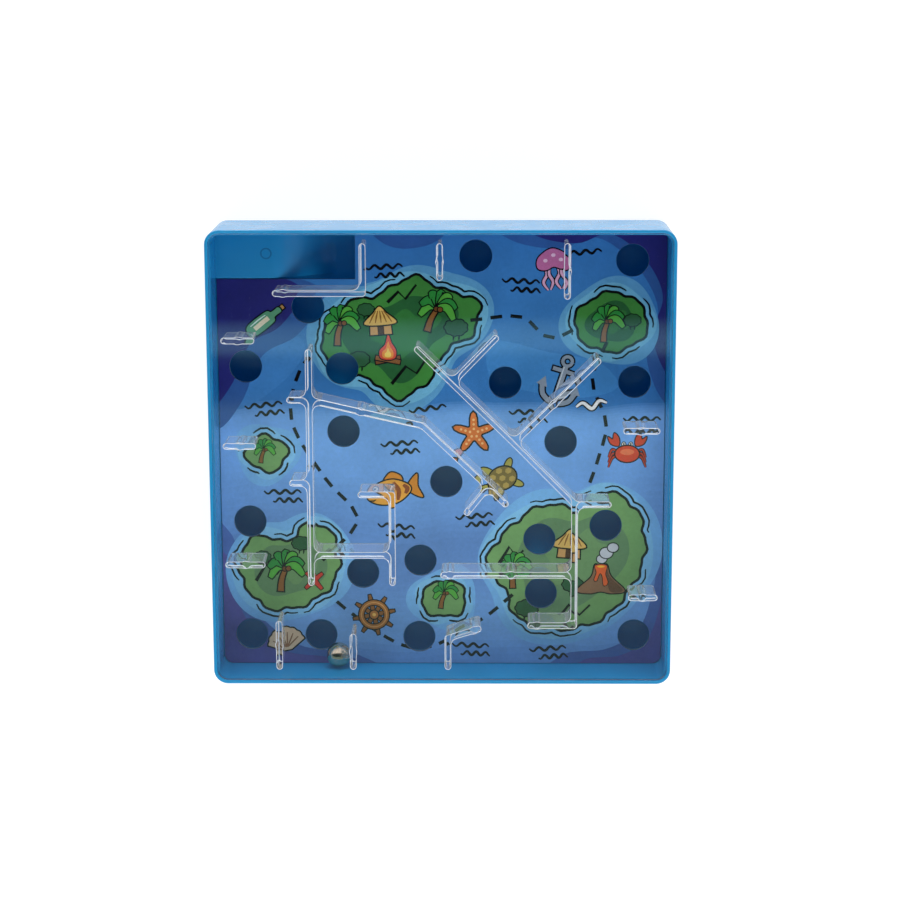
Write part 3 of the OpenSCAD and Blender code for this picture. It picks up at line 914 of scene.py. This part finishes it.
def hang_ceiling():
    """A ceiling for the cover to mirror, in bands along Y: a dim panel with a bright edge, a dark gap and a
    pale strip.

    The panel pales to white far in front, the ceiling is white far behind and dark far to the right, and it
    neither lights nor shades the object."""
    ceiling, tree = new_material("studio_ceiling")
    black, white, strip = (0, 0, 0, 1), (1, 1, 1, 1), (0.3, 0.62, 0.72, 1)
    dim, bright, dark = (0.18, 0.26, 0.22, 1), (0.24, 0.36, 0.3, 1), (0.04, 0.12, 0.2, 1)
    plan = add_node(tree, "SeparateXYZ", {0: add_node(tree, "TexCoord").outputs["Object"]})
    front, back = -2.4, 0.0
    along = add_node(tree, "MapRange", {"Value": plan.outputs["Y"], 1: front, 2: back})
    bands = add_node(tree, "ValToRGB", {"Fac": along.outputs[0]})
    stops = bands.color_ramp.elements
    for place, colour in ((-2.3, white), (-0.62, dim), (-0.39, dim), (-0.314, bright), (-0.289, bright),
                          (-0.279, black), (-0.245, black), (-0.236, strip), (-0.22, strip),
                          (-0.207, black)):
        stops.new((place - front) / (back - front)).color = colour
    stops.remove(stops[0])
    stops.remove(stops[len(stops) - 1])
    far = add_node(tree, "MapRange", {"Value": plan.outputs["Y"], 1: 0.6, 2: 0.9})
    seen = add_node(tree, "Mix", {"Factor": far.outputs[0], 6: bands.outputs[0], 7: white}, data_type="RGBA")
    right = add_node(tree, "MapRange", {"Value": plan.outputs["X"], 1: 0.9, 2: 1.5})
    seen = add_node(tree, "Mix", {"Factor": right.outputs[0], 6: seen.outputs[2], 7: dark}, data_type="RGBA")
    glow = add_node(tree, "Emission", {"Color": seen.outputs[2], "Strength": 1.0})
    add_node(tree, "OutputMaterial", {"Surface": glow.outputs[0]})
    room_height = 1.5
    roof = stage_plane("ceiling", (-8, -2.5), (8, 2.5), room_height, ceiling)
    roof.visible_camera = roof.visible_diffuse = roof.visible_shadow = False


def light_sky(scene):
    """A sky that is white where it shows and lights the object from a soft ring above the horizon."""
    world = bpy.data.worlds.new("studio")
    world.use_nodes = True
    tree = world.node_tree
    tree.nodes.clear()
    aim = add_node(tree, "SeparateXYZ", {0: add_node(tree, "TexCoord").outputs["Generated"]})
    rise = add_node(tree, "MapRange", {"Value": aim.outputs["Z"], 1: 0.08, 2: 0.3},
                    interpolation_type="SMOOTHSTEP")
    fall = add_node(tree, "MapRange", {"Value": aim.outputs["Z"], 1: 0.45, 2: 0.75, 3: 1.0, 4: 0.0},
                    interpolation_type="SMOOTHSTEP")
    ring_light = add_node(tree, "Math", {0: rise.outputs[0], 1: fall.outputs[0]}, operation="MULTIPLY")
    level = add_node(tree, "MapRange", {"Value": ring_light.outputs[0], 3: 0.06, 4: 1.98})
    shown = add_node(tree, "Mix", {"Factor": seen_directly(tree), "A": level.outputs[0], "B": 1.0})
    sky = add_node(tree, "Background", {"Color": (1, 1, 1, 1), "Strength": shown.outputs[0]})
    add_node(tree, "OutputWorld", {"Surface": sky.outputs[0]})
    scene.world = world


def hang_lamps(scene):
    """A soft lamp in front and a low one behind, both aimed at the puzzle and left out of its mirrors."""
    for name, place, size, power in (("front_softbox", (0.12, -0.85, 0.6), 0.6, 6.5),
                                     ("back_strip", (0.0, 1.2, 0.2), 0.5, 8.0)):
        lamp = bpy.data.lights.new(name, "AREA")
        lamp.size, lamp.energy = size, power
        softbox = bpy.data.objects.new(name, lamp)
        softbox.location = place
        softbox.rotation_euler = Vector(place).to_track_quat("Z", "Y").to_euler()
        softbox.visible_glossy = softbox.visible_transmission = False
        scene.collection.objects.link(softbox)


# Operators

class PUZZLE_OT_tray(bpy.types.Operator):
    """Builds the blue tray: one section carried round a square with round corners"""

    bl_idname = "puzzle.tray"
    bl_label = "Tray"

    def execute(self, context):
        sizes, colours = context.scene.puzzle_sizes, context.scene.puzzle_colours
        low, high = box_mm("tray")
        card_low, cover_low = box_mm("game_card")[0], box_mm("cover_sheet")[0]
        half, floor = high[0], box_mm("card_posts")[0][2]
        seat, field, inner = half - sizes.lip / MM, half - sizes.side / MM, half - STRIP
        gallery, base = field - sizes.card_ledge / MM, half - sizes.side_draft / MM
        rim, ledge_round = sizes.rim_round / MM, sizes.ledge_round / MM
        section, normals = rounded_profile([
            (inner, low[2], 0), (base, low[2], sizes.base_round / MM),
            (half, high[2], rim), (seat, high[2], rim),
            (seat, cover_low[2], sizes.seat_fillet / MM), (field, cover_low[2], ledge_round),
            (field, card_low[2], sizes.ledge_fillet / MM), (gallery, card_low[2], ledge_round),
            (gallery, floor, sizes.floor_fillet / MM), (inner, floor, 0)])
        points, out = carried_round(section, normals, half - sizes.corner_radius / MM)
        rows, columns = points.shape[:2]
        middle = rows * columns
        points = np.r_[points.reshape(-1, 3), [(0, 0, low[2]), (0, 0, floor)]]
        out = np.r_[out.reshape(-1, 3), [(0, 0, -1), (0, 0, 1)]]
        faces = [grid_faces(rows, columns), fan_faces(np.arange(columns), middle, False),
                 fan_faces(np.arange(middle - columns, middle), middle + 1, True)]
        material = moulded_polystyrene(colours.tray)
        add_piece("tray_moulding", points, faces, material, "case", ["tray"], out)
        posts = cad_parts["card_posts"].data
        posts.materials.clear()
        posts.materials.append(material)
        return {"FINISHED"}


class PUZZLE_OT_return_ramp(bpy.types.Operator):
    """Builds the start corner's ramp: a section carried along it, whose height falls as half a cosine wave"""

    bl_idname = "puzzle.return_ramp"
    bl_label = "Return ramp"

    def execute(self, context):
        sizes = context.scene.puzzle_sizes
        low, high = box_mm("return_ramp")
        half, ledge = box_mm("tray")[1][0], box_mm("game_card")[0][2]
        axis, side = half - sizes.corner_radius / MM, half - sizes.side / MM - TOUCH
        gallery = half - (sizes.side + sizes.card_ledge + sizes.ramp_gap) / MM
        brow, foot, least_lap = low[0] + sizes.ramp_top / MM, 2 * TOUCH, 0.3
        x = np.r_[np.linspace(-side, -gallery - TOUCH, 7), np.linspace(-gallery, brow, 24),
                  np.linspace(brow, high[0], 40)[1:]]
        share = np.clip((high[0] - x) / (high[0] - brow), 0, 1)
        top = low[2] + foot + (high[2] - low[2] - foot) * (1 - np.cos(math.pi * share)) / 2
        bottom = np.where(x < -gallery, ledge, low[2])
        on_ledge = top > ledge + least_lap
        back = axis + np.sqrt(np.maximum((side - axis) ** 2 - np.minimum(x + axis, 0) ** 2, 0))
        back = np.where(on_ledge, back, gallery)
        inner_back = np.where(x < -gallery, back, gallery)
        step = np.where(on_ledge & (x >= -gallery), ledge, np.minimum(bottom + TOUCH, top))
        edge = np.minimum(sizes.ramp_round / MM, (top - bottom) / 3)
        front = np.full_like(x, low[1])
        turn = np.linspace(0, math.pi / 2, 4)[:, None]
        y = np.r_[[front], front + edge * (1 - np.cos(turn)), [back], [back], [inner_back], [inner_back]]
        z = np.r_[[bottom], top - edge * (1 - np.sin(turn)), [top], [step], [step], [bottom]]
        points = np.stack([np.broadcast_to(x, y.shape), y, z], axis=-1).transpose(1, 0, 2)
        rows, columns = points.shape[:2]
        ends = points[[0, -1]].mean(axis=1)
        faces = [grid_faces(rows, columns, outwards_down=True),
                 fan_faces(np.arange(columns), rows * columns, True),
                 fan_faces(np.arange((rows - 1) * columns, rows * columns), rows * columns + 1, False)]
        add_piece("return_ramp_moulding", np.r_[points.reshape(-1, 3), ends], faces,
                  bpy.data.materials["moulded_blue_polystyrene"], "case", ["return_ramp"])
        return {"FINISHED"}


class PUZZLE_OT_game_card(bpy.types.Operator):
    """Builds the printed card: its face is split along every printed shape, and its cut edges are bevelled"""

    bl_idname = "puzzle.game_card"
    bl_label = "Game card"

    def execute(self, context):
        sizes, colours = context.scene.puzzle_sizes, context.scene.puzzle_colours
        low, high = box_mm("game_card")
        edge = sizes.card_edge / MM
        names = "sea", "deep", "shallow", "land", "sunlit_land"
        inks = {name: tuple(getattr(colours, name)) for name in names}
        outer, *holes = cad_outlines("game_card", high[2])
        centres = np.array([hole.mean(axis=0) for hole in holes])
        radius = np.linalg.norm(holes[0] - centres[0], axis=1).mean()
        width, hole_facets = 2 * (radius + edge), 56
        circles = [ellipse(*centre, width, width, count=hole_facets) for centre in centres]
        printed = chart(inks)
        outlines = [grow(outer, -edge)] + circles + [outline for outline, _ in printed]
        flat, triangles, holders, _ = filled(outlines, closest=0.003)
        first_ink = 1 + len(circles)
        on_card = np.array([0 in held and not any(1 <= h < first_ink for h in held) for held in holders])
        top_ink = np.array([max(held, default=0) for held in holders])[on_card]
        kept, face = np.unique(triangles[on_card], return_inverse=True)
        flat, face = flat[kept], face.reshape(-1, 3)
        shades = [linear(shade) if isinstance(shade, str) else shade for _, shade in printed]
        palette = np.array([inks["sea"]] * first_ink + shades)
        points, faces, ink = [np.c_[flat, np.full(len(flat), high[2])]], [face], [palette[top_ink]]
        core, total, backs = np.array(colours.core), len(flat), []
        for loop in closed_loops(face, len(flat)):
            arm = flat[loop] - centres[np.linalg.norm(centres - flat[loop].mean(axis=0), axis=1).argmin()]
            away = np.linalg.norm(arm, axis=1, keepdims=True)
            on_circle = np.ptp(away) < edge
            rim = flat[loop] + (radius / away - 1) * arm if on_circle else grow(flat[loop], edge)
            rings = [np.c_[rim, np.full(len(rim), height)] for height in (high[2] - edge, low[2])]
            strip = np.r_[loop, total + np.arange(2 * len(loop))].reshape(3, -1)
            following = np.roll(strip, -1, axis=1)
            quads = np.stack([strip[:-1], strip[1:], following[1:], following[:-1]], axis=-1).reshape(-1, 4)
            points += rings
            faces.append(quads)
            ink.append(np.tile(core, (len(quads), 1)))
            backs.append((rim, total + len(loop) + np.arange(len(loop))))
            total += 2 * len(loop)
        faces.append(flat_cap([rim for rim, _ in backs], np.concatenate([number for _, number in backs])))
        ink.append(np.tile(np.array(colours.back), (len(faces[-1]), 1)))
        add_piece("printed_card", np.concatenate(points), faces, printed_card(), "case",
                  ["game_card"], ink=np.concatenate(ink))
        return {"FINISHED"}


class PUZZLE_OT_clear_cover(bpy.types.Operator):
    """Builds the clear cover and its maze walls as one moulding, from the outlines of the CAD walls"""

    bl_idname = "puzzle.clear_cover"
    bl_label = "Clear cover"

    def execute(self, context):
        sizes, colours = context.scene.puzzle_sizes, context.scene.puzzle_colours
        low, high = box_mm("cover_sheet")
        half, root, tip = high[0], low[2], box_mm("west_wall")[0][2]
        arc_centre = box_mm("tray")[1][0] - sizes.corner_radius / MM
        edge = sizes.cover_round / MM
        border = 1
        section, normals = rounded_profile([(half - border, root, 0), (half, root, edge),
                                            (half, high[2], edge), (half - STRIP, high[2], 0)])
        sheet, sheet_out = carried_round(section, normals, arc_centre)
        rows, columns = sheet.shape[:2]
        points, out = [sheet.reshape(-1, 3), [(0, 0, high[2])]], [sheet_out.reshape(-1, 3), [(0, 0, 1)]]
        total = rows * columns + 1
        # Painted glint: whiteness along the cover's rounded edge
        haze = [np.r_[EDGE_GLINT * np.repeat(1 - normals[:, 1] ** 2, columns), 0]]
        top_ring = np.arange(total - 1 - columns, total - 1)
        faces = [grid_faces(rows, columns), fan_faces(top_ring, total - 1, True)]
        openings, opening_numbers = [sheet[0][:, :2]], [np.arange(columns)]
        fillet, draft, tip_round = sizes.wall_fillet / MM, sizes.wall_draft / MM, sizes.tip_round / MM
        turn = np.linspace(0, math.pi / 2, 6)
        offset = np.r_[fillet * (1 - np.sin(turn)), -draft - tip_round * (1 - np.cos(turn))]
        height = np.r_[root - fillet * (1 - np.cos(turn)), tip + tip_round * (1 - np.sin(turn))]
        sideways, downwards = np.r_[np.sin(turn), np.cos(turn)], np.r_[np.cos(turn), np.sin(turn)]
        # Painted highlights: whiteness on the walls' rounded roots and tips, and a faint pale veil on their
        # sides
        swell = np.sin(2 * turn) ** 4
        whiteness = np.r_[SIDE_HAZE * np.sin(turn) + ROOT_GLINT * swell,
                          SIDE_HAZE * np.cos(turn) + TIP_GLINT * swell]
        for wall in WALLS:
            outline = evened(cad_outlines(wall, root)[0], spacing=0.15)
            flat = outline + offset[:, None, None] * mitres(outline)
            levels, count = flat.shape[:2]
            points.append(lifted(flat, height))
            out.append(lifted(sideways[:, None, None] * shading_normals(outline), -downwards))
            haze.append(np.repeat(whiteness, count))
            faces.append(grid_faces(levels, count, total, outwards_down=True))
            openings.append(flat[0])
            opening_numbers.append(total + np.arange(count))
            faces.append(flat_cap([flat[-1]], total + (levels - 1) * count + np.arange(count)))
            total += levels * count
        faces.append(flat_cap(openings, np.concatenate(opening_numbers)))
        add_piece("clear_cover", np.concatenate(points), faces, clear_polystyrene(colours.cover), "case",
                  ["cover_sheet", *WALLS], np.concatenate(out), haze=np.concatenate(haze))
        return {"FINISHED"}


class PUZZLE_OT_steel_ball(bpy.types.Operator):
    """Builds the ball: a half circle turned about its axis"""

    bl_idname = "puzzle.steel_ball"
    bl_label = "Steel ball"

    def execute(self, context):
        low, high = box_mm("steel_ball")
        centre, radius = (low + high) / 2, (high[2] - low[2]) / 2
        rise, round_ = np.meshgrid(np.linspace(-math.pi / 2, math.pi / 2, 49)[1:-1],
                                   np.linspace(0, 2 * math.pi, 96, endpoint=False), indexing="ij")
        level = np.cos(rise)
        out = np.stack([level * np.cos(round_), level * np.sin(round_), np.sin(rise)], axis=-1)
        rows, columns = out.shape[:2]
        out = np.r_[out.reshape(-1, 3), [(0, 0, -1), (0, 0, 1)]]
        faces = [grid_faces(rows, columns), fan_faces(np.arange(columns), rows * columns, False),
                 fan_faces(np.arange((rows - 1) * columns, rows * columns), rows * columns + 1, True)]
        steel = polished_steel(context.scene.puzzle_colours.steel)
        add_piece("polished_ball", centre + radius * out, faces, steel, "ball", ["steel_ball"], out)
        return {"FINISHED"}


class PUZZLE_OT_stage(bpy.types.Operator):
    """Sets the camera, the white floor, the studio ceiling, the sky and the lamps"""

    bl_idname = "puzzle.stage"
    bl_label = "Stage"

    def execute(self, context):
        scene = context.scene
        scene.view_settings.view_transform = "Standard"
        place_camera(scene)
        lay_floor()
        hang_ceiling()
        light_sky(scene)
        hang_lamps(scene)
        return {"FINISHED"}


class PUZZLE_PT_panel(bpy.types.Panel):
    """Sidebar panel with the sizes, the colours and a button for each piece"""

    bl_idname = "PUZZLE_PT_panel"
    bl_label = "Dexterity puzzle"
    bl_space_type = "VIEW_3D"
    bl_region_type = "UI"
    bl_category = "Puzzle"

    def draw(self, context):
        for group in (context.scene.puzzle_sizes, context.scene.puzzle_colours):
            for name in group.__annotations__:
                self.layout.prop(group, name)
        for operator in OPERATORS:
            self.layout.operator(operator.bl_idname)


OPERATORS = (PUZZLE_OT_tray, PUZZLE_OT_return_ramp, PUZZLE_OT_game_card, PUZZLE_OT_clear_cover,
             PUZZLE_OT_steel_ball, PUZZLE_OT_stage)
CLASSES = (PuzzleSizes, PuzzleColours, *OPERATORS, PUZZLE_PT_panel)


def register():
    """Registers the classes and hangs the settings on the scene."""
    for cls in CLASSES:
        bpy.utils.register_class(cls)
    bpy.types.Scene.puzzle_sizes = bpy.props.PointerProperty(type=PuzzleSizes)
    bpy.types.Scene.puzzle_colours = bpy.props.PointerProperty(type=PuzzleColours)


def unregister():
    """Takes away what register added."""
    del bpy.types.Scene.puzzle_colours
    del bpy.types.Scene.puzzle_sizes
    for cls in reversed(CLASSES):
        bpy.utils.unregister_class(cls)


def main():
    register()
    bpy.ops.puzzle.tray()
    bpy.ops.puzzle.return_ramp()
    bpy.ops.puzzle.game_card()
    bpy.ops.puzzle.clear_cover()
    bpy.ops.puzzle.steel_ball()
    bpy.ops.puzzle.stage()


if __name__ == "__main__":
    main()
